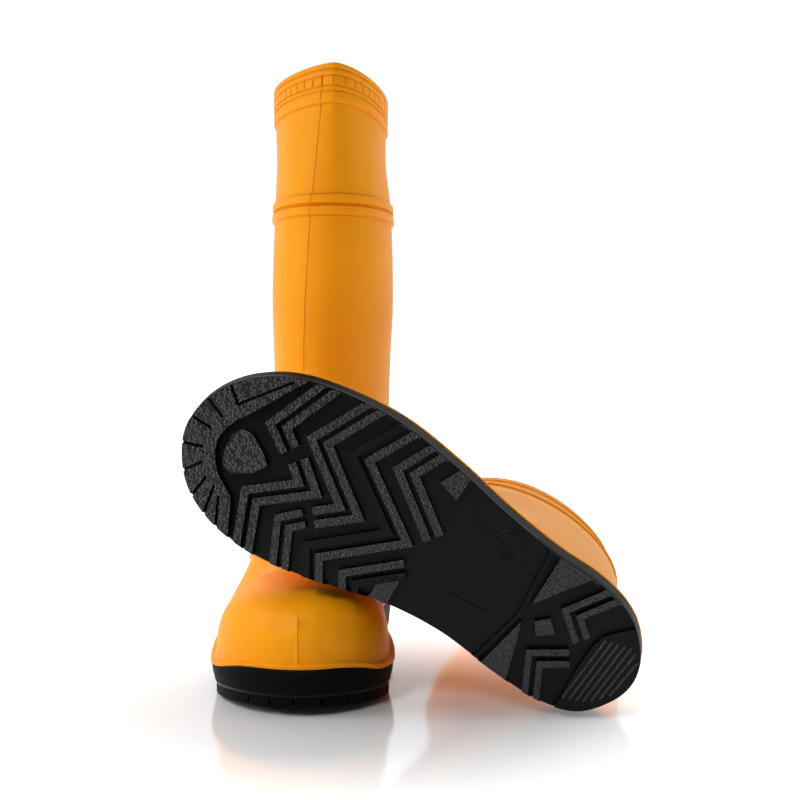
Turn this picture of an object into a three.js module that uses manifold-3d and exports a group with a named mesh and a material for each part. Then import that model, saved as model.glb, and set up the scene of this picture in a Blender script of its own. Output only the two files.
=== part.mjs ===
// A pair of moulded PVC deck boots. The right boot stands, and the left boot lies on its inner side with its
// forefoot leaning on the standing boot's toe. Millimetres, +Z up, standing boot's toe towards -Y.
// The origin is on the floor under the back of the standing boot's heel.
//
// Every layer of a boot is a skin at some depth below one outer surface, the last. A point on the last is found
// from its level, which rises from the foot bed to the rim, and its turn, which runs from the back of the heel
// (0) along the outer side to the toe (PI) and home along the inner side. Pieces are drawn as a left boot, with
// x towards the toe and +y towards the outer side; the right boot mirrors them.
import * as THREE from "three";
import { mergeVertices } from "three/addons/utils/BufferGeometryUtils.js";
import Module from "manifold-3d";

const wasm = await Module();
wasm.setup();

// ---------------------------------------------------------------- sizes

const soleLength = 300;
const soleWidth = 110.8; // at the ball, across the tread
const treadDepth = 6;
const soleHeight = { heel: 30, toe: 22 }; // floor to the top of the black sidewall
const cupDepth = 10; // how far the upper stands down inside the sidewall
const sidewallFlare = 2.5; // how much wider the sidewall is at its top than at the tread
const toeHeight = 68; // floor to the top of the toe
const bootHeight = 404; // floor to the rim, at the front
const rimDrop = 6; // how much lower the rim is at the back
const rimDip = { outer: 5, inner: 11 }; // how much lower the rim is at its sides
const shaftDepth = 159; // front to back
const shaftWidth = 78.5;
const shaftCentre = 70.5; // from the back of the heel

const gap = 0.3; // between pieces that touch
const lip = { height: 3.2, reach: 3.3 }; // the flange of the upper that covers the sidewall's top
const footWall = 5.1;
const shaftWall = 3;
const toeSkin = 2.8; // the upper's wall outside the toe cap
const floorThickness = 4.4;
const pocketFloor = 2.5; // the upper's floor under the toe cap's flange
const toeCap = { length: 64, thickness: 1.6, flange: 8, play: 0.5 };
const capEdge = 6; // width of the strip along the toe cap's back edge
const plateThickness = 0.8;
const boardThickness = 2;
const liningThickness = 1.2;
const liningDrop = 6; // how far the lining ends below the rim
const insole = { foam: 4, cover: 1, play: 2 };
const heelCore = { length: 46, width: 42, x: 40, floor: 8 };
const ring = { below: 123, height: 6.4, groove: 1.2, reach: 1.4 }; // the two hoops round the shaft, below the rim
const cuff = { height: 26, reach: 1.3 };

const stands = { yaw: 3.45, origin: 14 }; // degrees, toe towards -X; mm from the back of the heel
const lies = { toeLift: 30.8, tilt: -0.26, yaw: 4, y: -290.5 }; // y is at the back of its heel

// ---------------------------------------------------------------- the last

// Half widths of the sole at even steps of turn from heel to toe, drawn for a sole 110.8 wide.
const drawnWidth = 110.8;
const outerHalf = [0, 16.2, 30.5, 37.8, 39.7, 45, 53.1, 58.6, 57.2, 50.2, 36.3, 17.8, -3.5];
const innerHalf = [0, 16.8, 32.8, 38.7, 37.3, 33.8, 37, 46.7, 52.2, 49.4, 39, 21.3, 3.5];

const L = soleLength;
const rear = shaftCentre - shaftDepth / 2;
const front = shaftCentre + shaftDepth / 2;
const bed = { heel: soleHeight.heel - cupDepth, toe: soleHeight.toe - cupDepth };
const rimLevel = bootHeight - bed.toe - 10;

// Rows of level, x, z down the front and the back of the boot, seen from the side.
const frontLine = [
  [0, L - 3.5, bed.toe],
  [cupDepth, L - 2.5, soleHeight.toe],
  [20, L - 1, toeHeight * 0.47],
  [32, L - 1.5, toeHeight * 0.65],
  [42, L - 8, toeHeight * 0.81],
  [50, L - 20, toeHeight * 0.93],
  [58, L - 38, toeHeight + 0.5],
  [70, L - 64, toeHeight + 8],
  [84, (L + front) / 2 - 18, toeHeight + 22.5],
  [100, (L + front) / 2 - 44, 110],
  [120, front + 10, 136],
  [145, front - 1, 164],
  [180, front - 5.5, 200],
  [rimLevel - 95, front - 2, bootHeight - 95],
  [rimLevel, front, bootHeight],
];
const backLine = [
  [0, 3.5, bed.heel],
  [cupDepth, 2.5, soleHeight.heel],
  [20, 1, bed.heel + 20],
  [32, 0.5, bed.heel + 32],
  [42, 1.5, bed.heel + 43],
  [50, 3.5, bed.heel + 53],
  [58, 5.5, bed.heel + 63],
  [70, 7.5, bed.heel + 76],
  [84, 8.5, bed.heel + 91],
  [100, 8, bed.heel + 108],
  [120, 6, bed.heel + 128],
  [145, 2.5, bed.heel + 152],
  [180, rear + 7, 200],
  [rimLevel - 95, rear + 1, bootHeight - 95 - rimDrop / 2],
  [rimLevel, rear, bootHeight - rimDrop],
];
// Rows of height, half width and pointedness of the front: under 1 is blunt, over 1 is pinched.
const shaftForm = [
  [0, 0.95, 0.8],
  [bootHeight * 0.3, 0.96, 0.85],
  [bootHeight * 0.5, 0.95, 0.85],
  [bootHeight * 0.62, 0.99, 0.8],
  [bootHeight - 92, 1.01, 0.78],
  [bootHeight - 55, 0.96, 0.95],
  [bootHeight - 30, 0.97, 1.15],
  [bootHeight, 0.98, 1.3],
];

const mix = (a, b, t) => a + (b - a) * t;
const ease = THREE.MathUtils.smoothstep;

// The value in a column of rows [at, ...values], smoothly between the rows.
function between(rows, at, column) {
  const last = rows.length - 1;
  const clamped = Math.min(Math.max(at, rows[0][0]), rows[last][0]);
  let i = 0;
  while (i < last - 1 && rows[i + 1][0] < clamped) i++;
  const slope = (k) => {
    const a = rows[Math.max(k - 1, 0)];
    const b = rows[Math.min(k + 1, last)];
    return (b[column] - a[column]) / (b[0] - a[0]);
  };
  const span = rows[i + 1][0] - rows[i][0];
  const t = (clamped - rows[i][0]) / span;
  const [h00, h10] = [(1 + 2 * t) * (1 - t) ** 2, t * (1 - t) ** 2];
  const [h01, h11] = [t * t * (3 - 2 * t), t * t * (t - 1)];
  const start = rows[i][column];
  const end = rows[i + 1][column];
  return h00 * start + h10 * span * slope(i) + h01 * end + h11 * span * slope(i + 1);
}

// Half width of the sole at x, on the outer (+1) or inner (-1) side.
const soleRows = [outerHalf, innerHalf].map((half) => half.map((w, i) => [i, w]));
function soleHalf(x, side) {
  const turn = Math.acos(1 - 2 * THREE.MathUtils.clamp(x / L, 0, 1));
  const rows = soleRows[side > 0 ? 0 : 1];
  return (between(rows, (turn / Math.PI) * (rows.length - 1), 1) * soleWidth) / drawnWidth;
}

// Height of the toe and instep above the floor at x, or a great height behind the instep.
function topLine(x) {
  for (let i = 3; i < frontLine.length - 3; i++) {
    const [, x0, z0] = frontLine[i];
    const [, x1, z1] = frontLine[i + 1];
    if (x <= x0 && x > x1) return mix(z0, z1, (x0 - x) / (x0 - x1));
  }
  return x > L / 2 ? frontLine[3][2] : 3 * bootHeight;
}

// A point on the last, as a left boot has it.
function lastPoint(level, turn) {
  const along = (1 - Math.cos(turn)) / 2;
  const side = Math.sin(turn) >= 0 ? 1 : -1;
  const x = mix(between(backLine, level, 1), between(frontLine, level, 1), along);
  const z = mix(between(backLine, level, 2), between(frontLine, level, 2), along);
  const bedZ = mix(bed.heel, bed.toe, x / L);
  const rise = Math.min(Math.max((z - bedZ) / (topLine(x) - bedZ), 0), 1);
  const dome = side > 0 ? (1 - rise ** 2.8) ** 0.54 : (1 - rise ** 3.2) ** 0.5;
  const foot = soleHalf(x, side) * dome;
  const pinch = mix(0.85, between(shaftForm, z, 2), along);
  const shaft = (shaftWidth / 2) * between(shaftForm, z, 1) * Math.abs(Math.sin(turn)) ** pinch;
  const dip = (side > 0 ? rimDip.outer : rimDip.inner) * Math.sin(turn) ** 2;
  const y = side * mix(foot, shaft, ease(z, 45, 125));
  return new THREE.Vector3(x, y, z - dip * ease(level, rimLevel - 90, rimLevel));
}

// A point the given depth below the last, or above it where the depth is negative. Down by the sole, where the
// wall is upright, the depth is measured level with the floor.
function skin(level, turn, depth) {
  const step = 0.02;
  const up = lastPoint(level + 0.5, turn).sub(lastPoint(Math.max(level - 0.5, 0), turn));
  const round = lastPoint(level, turn + step).sub(lastPoint(level, turn - step));
  const outward = up.cross(round).normalize();
  outward.setZ(outward.z * ease(level, cupDepth + lip.height + 1, 30)).normalize();
  return lastPoint(level, turn).addScaledVector(outward, -depth);
}

// ---------------------------------------------------------------- rings, lofts and solids

const turns = (count) => Array.from({ length: count }, (_, i) => (i / count) * 2 * Math.PI);
const skinRing = (level, depth, count) => turns(count).map((turn) => skin(level, turn, depth));

// The sole's outline, grown outwards, at heights that run evenly from heel to toe.
function soleRing(heelZ, toeZ, grow, count) {
  const at = (turn) => {
    const x = (L * (1 - Math.cos(turn))) / 2;
    const side = Math.sin(turn) >= 0 ? 1 : -1;
    return new THREE.Vector2(x, side * soleHalf(x, side));
  };
  return turns(count).map((turn) => {
    const along = at(turn + 0.03).sub(at(turn - 0.03)).normalize();
    const p = at(turn).add(new THREE.Vector2(-along.y, along.x).multiplyScalar(grow));
    return new THREE.Vector3(p.x, p.y, mix(heelZ, toeZ, p.x / L));
  });
}

// A closed body through rings of the same count, with flat ends. Four corners are split into triangles the same
// way whether the rings climb or fall, so that neighbouring skins stay parallel.
function loft(rings) {
  const count = rings[0].length;
  const positions = rings.flat().flatMap((p) => [p.x, p.y, p.z]);
  const index = [];
  for (let r = 0; r < rings.length - 1; r++)
    for (let i = 0; i < count; i++) {
      const j = (i + 1) % count;
      const [a, b, c, d] = [r * count + i, r * count + j, (r + 1) * count + j, (r + 1) * count + i];
      const climbs = rings[r + 1][i].z > rings[r][i].z;
      index.push(...(climbs ? [a, c, b, a, d, c] : [a, d, b, b, d, c]));
    }
  // Each end is a ladder of strips between the outer and the inner side.
  const ladder = (base, flip) => {
    const half = count / 2;
    const face = (a, b, c) => index.push(...(flip ? [a, c, b] : [a, b, c]).map((k) => base + k));
    for (let i = 0; i < half; i++) {
      const [a, b, c, d] = [i, i + 1, count - i - 1, (count - i) % count];
      if (a !== d) face(a, b, d);
      if (b !== c) face(b, c, d);
    }
  };
  ladder(0, false);
  ladder((rings.length - 1) * count, true);
  const geometry = new THREE.BufferGeometry();
  geometry.setAttribute("position", new THREE.Float32BufferAttribute(positions, 3));
  return geometry.setIndex(index);
}

function solid(geometry) {
  const bare = new THREE.BufferGeometry();
  bare.setAttribute("position", geometry.getAttribute("position"));
  bare.setIndex(geometry.index);
  const merged = mergeVertices(bare, 1e-4);
  const vertProperties = merged.getAttribute("position").array;
  return new wasm.Manifold(
    new wasm.Mesh({ numProp: 3, vertProperties, triVerts: new Uint32Array(merged.index.array) }),
  );
}

function geometryOf(body) {
  const { vertProperties, triVerts } = body.getMesh();
  const geometry = new THREE.BufferGeometry();
  geometry.setAttribute("position", new THREE.BufferAttribute(new Float32Array(vertProperties), 3));
  geometry.setIndex(new THREE.BufferAttribute(new Uint32Array(triVerts), 1));
  geometry.computeVertexNormals();
  return geometry;
}

const loftSolid = (rings) => solid(loft(rings));

// A block that reaches past the whole boot in y and z, between two places along it.
function slice(fromX, toX) {
  const block = new THREE.BoxGeometry(toX - fromX, 4 * soleWidth, 4 * bootHeight);
  return solid(block.translate((fromX + toX) / 2, 0, 0));
}

// ---------------------------------------------------------------- the tread

// The tread is drawn in mm on a sole 300 long and 110.8 wide, as x from the heel and y towards the outer side.
const drawnLength = 300;
const onSole = ([x, y]) => new THREE.Vector2((x * L) / drawnLength, (y * soleWidth) / drawnWidth);

// A bar of even width that follows a bent line.
function barOutline(line, width) {
  const normal = (a, b) => new THREE.Vector2(a.y - b.y, b.x - a.x).normalize();
  const points = line.map((p) => new THREE.Vector2(...p));
  const edge = (sign) =>
    points.map((p, i) => {
      const before = normal(points[Math.max(i - 1, 0)], points[Math.max(i, 1)]);
      const after = normal(points[Math.min(i, points.length - 2)], points[Math.min(i + 1, points.length - 1)]);
      const corner = before.clone().add(after).normalize();
      const reach = width / 2 / corner.dot(after);
      return [p.x + sign * reach * corner.x, p.y + sign * reach * corner.y];
    });
  return [...edge(1), ...edge(-1).reverse()];
}

const zigzags = [
  { width: 11, line: [[236, 58], [252, 20.6], [239, 11.8]] },
  { width: 11, line: [[207, 62], [226.5, 25.3], [190.5, -1.2], [207, -14.7]] },
  { width: 11, line: [[183, 62], [201, 29.4], [159, 0.6], [197.5, -31.8], [186, -52]] },
  { width: 11, line: [[162, 60], [174.5, 36], [141, 11.2]] },
  { width: 11, line: [[232, -56], [245, -23], [218.5, -1.8], [231.5, 9]] },
  { width: 10, line: [[208, -54], [220.5, -26.5], [211.5, -18]] },
  { width: 10, line: [[162, -50], [171.5, -34.5], [146, -13]] },
  { width: 9, line: [[45, -42], [56, -18.2], [39, -7.6]] },
  { width: 9, line: [[33.5, 39], [50.5, 15.3], [38, 4.7]] },
];
const blocks = [
  // the pad behind the toe band
  [[244.5, -1.8], [251, 2], [263, 8.5], [269, 8], [273, 2], [272, -8], [269, -16], [262, -18], [251, -11]],
  // small pieces at the ends of the waist
  [[154.5, 41], [144.5, 60], [140, 60], [141, 37]],
  [[156, -47], [156, -24.5], [145.5, -16], [144.5, -45]],
  // the heel's breast, its diamond and its back pad
  [[83.5, -46], [73.5, -3.5], [70, -14], [61.5, -46]],
  [[73.5, 8], [72.5, 48], [46, 45]],
  [[67, 0.6], [60, 6.5], [53, 0], [62, -6.5]],
  [[30.5, -45], [30, -30.5], [34.5, -22.5], [28.5, -19], [29, -4.5], [20, 6.5], [22, 10.5], [29.5, 16.5], [15, 36],
    [-9, 36], [-9, -45]],
];
const toeBand = [
  [244.5, -60], [255, -29.5], [262, -26], [268, -22.5], [273.5, -17], [277.5, -10.5], [279, -3.5], [277.5, 4.5],
  [274.5, 11.5], [270.5, 16.5], [250, 52], [250, 62], [310, 62], [310, -62],
];
// Slots that split the toe band into lugs, each from the edge inwards.
const toeSlots = [
  [[251.5, -54], [261.5, -33]],
  [[276, -45], [273.5, -27]],
  [[289.5, -34], [280, -21]],
  [[298, -18.5], [284, -13]],
  [[302, -1.2], [286, -1.2]],
  [[298, 14.5], [283, 7.6]],
  [[290, 28], [279, 19], [257, 47]],
];
const slotWidth = 1.8;

function makeTread(count) {
  const drawn = (outline) => new THREE.Shape(outline.map(onSole));
  const prism = (outline, z0, z1) => {
    const options = { depth: z1 - z0, bevelEnabled: false };
    return solid(new THREE.ExtrudeGeometry(drawn(outline), options).translate(0, 0, z0));
  };
  const raised = (outline) => prism(outline, -1, treadDepth + 0.5);
  let band = raised(toeBand);
  for (const slot of toeSlots) band = band.subtract(prism(barOutline(slot, slotWidth), -2, treadDepth - 2));
  let lugs = blocks.map(raised).reduce((all, next) => all.add(next), band);
  for (const bar of zigzags) lugs = lugs.add(raised(barOutline(bar.line, bar.width)));
  const footprint = loftSolid([
    soleRing(0, 0, -1.6, count),
    soleRing(1.4, 1.4, -0.4, count),
    soleRing(treadDepth + 1, treadDepth + 1, 0, count),
  ]);
  return lugs.intersect(footprint);
}

// ---------------------------------------------------------------- the pieces of one boot

const around = 28; // corners round the foot and the shaft
const floor = { plate: floorThickness + gap };
floor.board = floor.plate + plateThickness + gap;
floor.lining = floor.board + boardThickness + gap;
floor.foam = floor.lining + liningThickness + gap;
floor.cover = floor.foam + insole.foam + gap;
const insoleTop = floor.cover + insole.cover;

const capBack = L - toeCap.length;

// The upper's wall thins from the foot to the shaft.
const wallAt = (level) => mix(footWall, shaftWall, ease(level, 90, 150));
const ringLevel = bootHeight - ring.below;
const neckLevel = rimLevel - 52; // the narrow place between the hoops and the cuff
const climb = [20, 32, 40, 46, 52, 60, 70, 84, 100, 120, 145, 180, (180 + ringLevel) / 2];
const innerClimb = [...climb, ringLevel, neckLevel, rimLevel - liningDrop];
const capClimb = [floor.lining, ...climb.slice(0, 8)]; // over the toes

function makeHeelCore(margin, floorZ, topAbove) {
  const shape = new THREE.Shape();
  const [a, b] = [heelCore.length / 2 - margin, heelCore.width / 2 - margin];
  shape.absellipse(heelCore.x, 0, a, b, 0, 2 * Math.PI, false, 0);
  const top = mix(bed.heel, bed.toe, (heelCore.x + a) / L) - gap - topAbove;
  const options = { depth: top - floorZ, bevelEnabled: false, curveSegments: 6 };
  return solid(new THREE.ExtrudeGeometry(shape, options).translate(0, 0, floorZ));
}

function makeOutsole() {
  const cup = loftSolid([
    soleRing(treadDepth, treadDepth, 0, around),
    soleRing(treadDepth + 3, treadDepth + 3, 0.6, around),
    soleRing(soleHeight.heel, soleHeight.toe, sidewallFlare, around),
    skinRing(cupDepth, -gap, around),
    skinRing(0, -gap, around).map((p) => p.setZ(p.z - gap)),
  ]);
  return cup.add(makeTread(around)).subtract(makeHeelCore(0, heelCore.floor, -2 * gap));
}

function makeUpper() {
  const { height, groove, reach } = ring;
  const hoop = (at) => [[at, 0], [at + 0.6, -reach], [at + height - 1, -reach], [at + height, -0.2]];
  const cuffFoot = rimLevel - cuff.height;
  const outside = [
    [0, 0], [cupDepth + gap, 0], [cupDepth + gap, -lip.reach], [cupDepth + lip.height, -lip.reach],
    [cupDepth + lip.height + 1, 0], ...climb.map((at) => [at, 0]), ...hoop(ringLevel),
    ...hoop(ringLevel + height + groove), [neckLevel, 0], [cuffFoot, 0], [cuffFoot + 0.8, -cuff.reach], [rimLevel, -cuff.reach],
  ];
  const inside = [rimLevel, ...innerClimb.toReversed(), floor.lining, floorThickness].map((at) => [at, wallAt(at)]);
  const shell = loftSolid([...outside, ...inside].map(([at, depth]) => skinRing(at, depth, around)));
  // The toe cap's pocket, which is open to the inside.
  const pocketBack = capBack - capEdge - 2 * gap;
  const room = [pocketFloor, ...capClimb].map((at) => skinRing(at, toeSkin, around));
  return shell.subtract(loftSolid(room).intersect(slice(pocketBack, 2 * L)));
}

function makeLining() {
  const rows = [floor.lining, ...innerClimb].map((at) => [at, wallAt(at) + gap]);
  const back = [...innerClimb.toReversed(), floor.lining + liningThickness];
  rows.push(...back.map((at) => [at, wallAt(at) + gap + liningThickness]));
  return loftSolid(rows.map(([at, depth]) => skinRing(at, depth, around)));
}

// The steel cap over the toes, and the strip along its back edge.
function makeCapShell(fromX, toX) {
  const depth = toeSkin + toeCap.play;
  const low = pocketFloor + gap;
  const outer = loftSolid([low, ...capClimb].map((at) => skinRing(at, depth, around)));
  const steelInside = depth + toeCap.thickness;
  const inner = [low + toeCap.thickness, ...capClimb].map((at) => skinRing(at, steelInside, around));
  const mouth = [0, low + toeCap.thickness + 1].map((at) => skinRing(at, depth + toeCap.flange, around));
  return outer.subtract(loftSolid(inner)).subtract(loftSolid(mouth)).intersect(slice(fromX, toX));
}

// A flat layer of the foot bed, between two levels.
const makeLayer = (low, thickness, depth) =>
  loftSolid([low, low + thickness].map((at) => skinRing(at, depth, around)));

const bedDepth = footWall + 1;
const insoleDepth = footWall + gap + liningThickness + insole.play;
const pieces = {
  outsole: makeOutsole(),
  heel_core: makeHeelCore(gap, heelCore.floor + gap, gap),
  upper: makeUpper(),
  toe_cap: makeCapShell(capBack, 2 * L),
  toe_cap_edge: makeCapShell(capBack - capEdge - gap, capBack - gap),
  puncture_plate: makeLayer(floor.plate, plateThickness, bedDepth),
  insole_board: makeLayer(floor.board, boardThickness, bedDepth),
  lining: makeLining(),
  insole_foam: makeLayer(floor.foam, insole.foam, insoleDepth),
  insole_cover: makeLayer(floor.cover, insole.cover, insoleDepth),
};

const pvcBlack = new THREE.MeshStandardMaterial({ color: 0x101012, roughness: 0.42 });
const pvcOrange = new THREE.MeshStandardMaterial({ color: 0xf29a0c, roughness: 0.38 });
const steel = new THREE.MeshStandardMaterial({ color: 0x9a9ea3, roughness: 0.35, metalness: 1 });
const rubber = new THREE.MeshStandardMaterial({ color: 0x2a2a2c, roughness: 0.7 });
const fibreboard = new THREE.MeshStandardMaterial({ color: 0xb59a72, roughness: 0.9 });
const knit = new THREE.MeshStandardMaterial({ color: 0xd9d4c6, roughness: 0.95 });
const foam = new THREE.MeshStandardMaterial({ color: 0x3b3d42, roughness: 0.9 });
const felt = new THREE.MeshStandardMaterial({ color: 0x6f7378, roughness: 0.95 });
const materials = {
  outsole: pvcBlack, heel_core: rubber, upper: pvcOrange, toe_cap: steel, toe_cap_edge: rubber,
  puncture_plate: steel, insole_board: fibreboard, lining: knit, insole_foam: foam, insole_cover: felt,
};

// ---------------------------------------------------------------- the pair

function boot(side) {
  const group = new THREE.Group();
  for (const [name, body] of Object.entries(pieces)) {
    const mesh = new THREE.Mesh(geometryOf(body), materials[name]);
    mesh.name = `${side}_${name}`;
    group.add(mesh);
  }
  return group;
}

const degrees = THREE.MathUtils.degToRad;

const rightBoot = boot("right");
rightBoot.scale.y = -1;
rightBoot.rotation.z = degrees(-90 - stands.yaw);
rightBoot.position.set(-stands.origin, 0, 0).applyEuler(rightBoot.rotation);

// The left boot lies with its sole towards -Y and its toe towards -X and up.
const leftBoot = boot("left");
leftBoot.rotation.set(degrees(-90), degrees(180), 0, "YXZ");
const leftPose = new THREE.Group();
leftPose.rotation.set(degrees(lies.tilt), degrees(lies.toeLift), degrees(-lies.yaw), "ZXY");
leftPose.add(leftBoot);

// It is set down with its lowest point on the floor, and slid along X until it leans on the standing boot.
function placed(holder, group) {
  holder.updateMatrixWorld(true);
  return [pieces.outsole, pieces.upper].map((body) => body.transform(group.matrixWorld.elements));
}
const standing = placed(rightBoot, rightBoot);
const lying = placed(leftPose, leftBoot);
const lift = -Math.min(...lying.map((body) => body.boundingBox().min[2]));
function leans(x) {
  const there = lying.map((body) => body.translate(x, lies.y, lift));
  return there.some((a) => standing.some((b) => a.minGap(b, 2 * gap) < gap));
}
let [touching, clear] = [0, 2 * soleLength];
while (clear - touching > 0.01) {
  const middle = (touching + clear) / 2;
  if (leans(middle)) touching = middle;
  else clear = middle;
}
leftPose.position.set(clear, lies.y, lift);

const pair = new THREE.Group();
pair.add(rightBoot, leftPose);

export default pair;
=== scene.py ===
import math

import bpy
import numpy as np
from mathutils import Matrix, Vector


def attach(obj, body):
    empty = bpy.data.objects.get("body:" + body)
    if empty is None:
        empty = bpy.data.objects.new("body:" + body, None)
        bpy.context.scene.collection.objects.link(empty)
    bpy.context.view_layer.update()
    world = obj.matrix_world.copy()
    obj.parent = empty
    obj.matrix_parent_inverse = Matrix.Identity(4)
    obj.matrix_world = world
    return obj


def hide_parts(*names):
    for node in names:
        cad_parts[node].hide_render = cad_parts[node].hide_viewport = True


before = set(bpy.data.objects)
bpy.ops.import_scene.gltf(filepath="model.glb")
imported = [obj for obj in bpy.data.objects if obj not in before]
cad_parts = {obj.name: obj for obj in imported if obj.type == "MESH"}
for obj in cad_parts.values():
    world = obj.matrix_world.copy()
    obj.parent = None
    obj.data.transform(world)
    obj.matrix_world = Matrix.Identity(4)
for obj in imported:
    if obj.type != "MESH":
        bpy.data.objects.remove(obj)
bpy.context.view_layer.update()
bpy.ops.object.select_all(action="DESELECT")

# ---------------------------------------------------------------- the room
# A pale glossy floor, a white room and soft lamps, which are only a setting for the pair. The boots are seen
# head on, from a little above their toes.

FLOOR_SIZE, FLOOR_BACK, FLOOR_DROP = 30, 6, 0.0004
# The floor's painted glow is left out under the toes, as a painted shadow pool. These give the pool's middle
# and the distances over which the painted glow rises from none to full.
PAINTED_SHADOW_Y = -0.26  # the middle of the dim floor under the toes
PAINTED_SHADOW_EDGE = (0.08, 0.27)


def make_room():
    bpy.ops.mesh.primitive_plane_add(size=FLOOR_SIZE, location=(0, FLOOR_BACK, -FLOOR_DROP))
    floor = bpy.context.object
    floor.name = "floor"
    material = bpy.data.materials.new("white_floor")
    material.use_nodes = True
    shader = material.node_tree.nodes["Principled BSDF"]
    shader.inputs["Base Color"].default_value = (0.93, 0.93, 0.94, 1)
    shader.inputs["Roughness"].default_value = 0.1
    shader.inputs["Specular IOR Level"].default_value = 0.8
    # The floor glows with a painted brightness that grows with distance from the toes, so that it reads as
    # white. Under the toes it has no glow and stays dim, a painted shadow pool.
    nodes, links = material.node_tree.nodes, material.node_tree.links
    way = nodes.new("ShaderNodeTexCoord")
    apart = nodes.new("ShaderNodeVectorMath")
    apart.operation = "DISTANCE"
    apart.inputs[1].default_value = (0, PAINTED_SHADOW_Y - FLOOR_BACK, 0)
    painted_glow = nodes.new("ShaderNodeMapRange")
    painted_glow.interpolation_type = "SMOOTHSTEP"
    painted_glow.inputs["From Min"].default_value, painted_glow.inputs["From Max"].default_value = PAINTED_SHADOW_EDGE
    painted_glow.inputs["To Min"].default_value = 0
    painted_glow.inputs["To Max"].default_value = 0.62
    links.new(way.outputs["Object"], apart.inputs[0])
    links.new(apart.outputs["Value"], painted_glow.inputs["Value"])
    shader.inputs["Emission Color"].default_value = (1, 1, 1, 1)
    links.new(painted_glow.outputs["Result"], shader.inputs["Emission Strength"])
    floor.data.materials.append(material)
    world = bpy.data.worlds.new("white_room")
    world.use_nodes = True
    nodes, links = world.node_tree.nodes, world.node_tree.links
    background = nodes["Background"]
    background.inputs["Color"].default_value = (1, 1, 1, 1)
    # The room is white behind and above the boots, and dim in front of them.
    way = nodes.new("ShaderNodeTexCoord")
    split = nodes.new("ShaderNodeSeparateXYZ")
    depth = nodes.new("ShaderNodeMapRange")
    depth.interpolation_type = "SMOOTHSTEP"
    depth.inputs["From Min"].default_value = 0.1
    depth.inputs["From Max"].default_value = 0.75
    depth.inputs["To Min"].default_value = 0.16
    depth.inputs["To Max"].default_value = 1.05
    links.new(way.outputs["Generated"], split.inputs["Vector"])
    links.new(split.outputs["Y"], depth.inputs["Value"])
    links.new(depth.outputs["Result"], background.inputs["Strength"])
    bpy.context.scene.world = world
    bpy.context.scene.view_settings.view_transform = "Standard"


def make_lamp(name, place, target, size, watts, sheen=1, spread=180):
    lamp = bpy.data.lights.new(name, "AREA")
    lamp.shape = "RECTANGLE"
    lamp.size, lamp.size_y = size
    lamp.energy = watts
    lamp.specular_factor = sheen
    lamp.spread = math.radians(spread)
    holder = bpy.data.objects.new(name, lamp)
    bpy.context.scene.collection.objects.link(holder)
    holder.location = place
    aim = Vector(target) - Vector(place)
    holder.rotation_euler = aim.to_track_quat("-Z", "Y").to_euler()


def make_camera(place, dip, lens):
    data = bpy.data.cameras.new("camera")
    data.lens = lens
    data.sensor_width = 36
    camera = bpy.data.objects.new("camera", data)
    bpy.context.scene.collection.objects.link(camera)
    camera.location = place
    camera.rotation_euler = (math.radians(90 - dip), 0, 0)
    bpy.context.scene.camera = camera


make_room()
make_lamp("left_softbox", (-1.6, -0.5, 1.0), (0, -0.1, 0.2), (0.9, 1.3), 16, sheen=0.1)
make_lamp("toe_softbox", (-0.45, -1.0, 0.75), (0, -0.25, 0.04), (0.3, 0.3), 0.22, sheen=0.3, spread=34)
make_lamp("right_softbox", (1.5, -0.1, 0.8), (0.05, 0, 0.2), (0.5, 1.4), 4.5)
make_lamp("top_softbox", (0.1, 0.5, 2.2), (0.05, 0, 0), (2.6, 1.8), 19)
make_camera((0.0458, -1.131, 0.2132), 2.03, 66.45)

# ---------------------------------------------------------------- lining
# The lining is a knitted sock pulled over the last before moulding, so that the PVC grips it. It ends below
# the rim, and the moulding's wall lies between it and the last's surface.

# Every layer of a boot follows one last, the foot and leg form that it is made on. A point on it is found
# from its level, rising from the foot bed to the rim, and its turn, from the back of the heel (0) along the
# outer side to the toe (pi) and home. Lengths are in mm, for a left boot with x towards the toe and +y
# towards the outer side.

MM = 0.001
SOLE_LENGTH = 300
HEEL_HEIGHT, TOE_SOLE_HEIGHT = 30, 22
CUP_DEPTH = 10
TOE_HEIGHT = 68
BOOT_HEIGHT = 404
RIM_DROP = 6
RIM_DIP_OUTER, RIM_DIP_INNER = 5, 11
SHAFT_WIDTH = 78.5
SHAFT_MIDDLE, SHAFT_HALF_DEPTH = 70.5, 79.5
REAR, FRONT = SHAFT_MIDDLE - SHAFT_HALF_DEPTH, SHAFT_MIDDLE + SHAFT_HALF_DEPTH
BED_HEEL, BED_TOE = HEEL_HEIGHT - CUP_DEPTH, TOE_SOLE_HEIGHT - CUP_DEPTH
RIM_LEVEL = BOOT_HEIGHT - TOE_SOLE_HEIGHT
TIP_DEPTH = 3.5  # how far the sole's tip is rounded back, and how far it lies off the boot's middle

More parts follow.
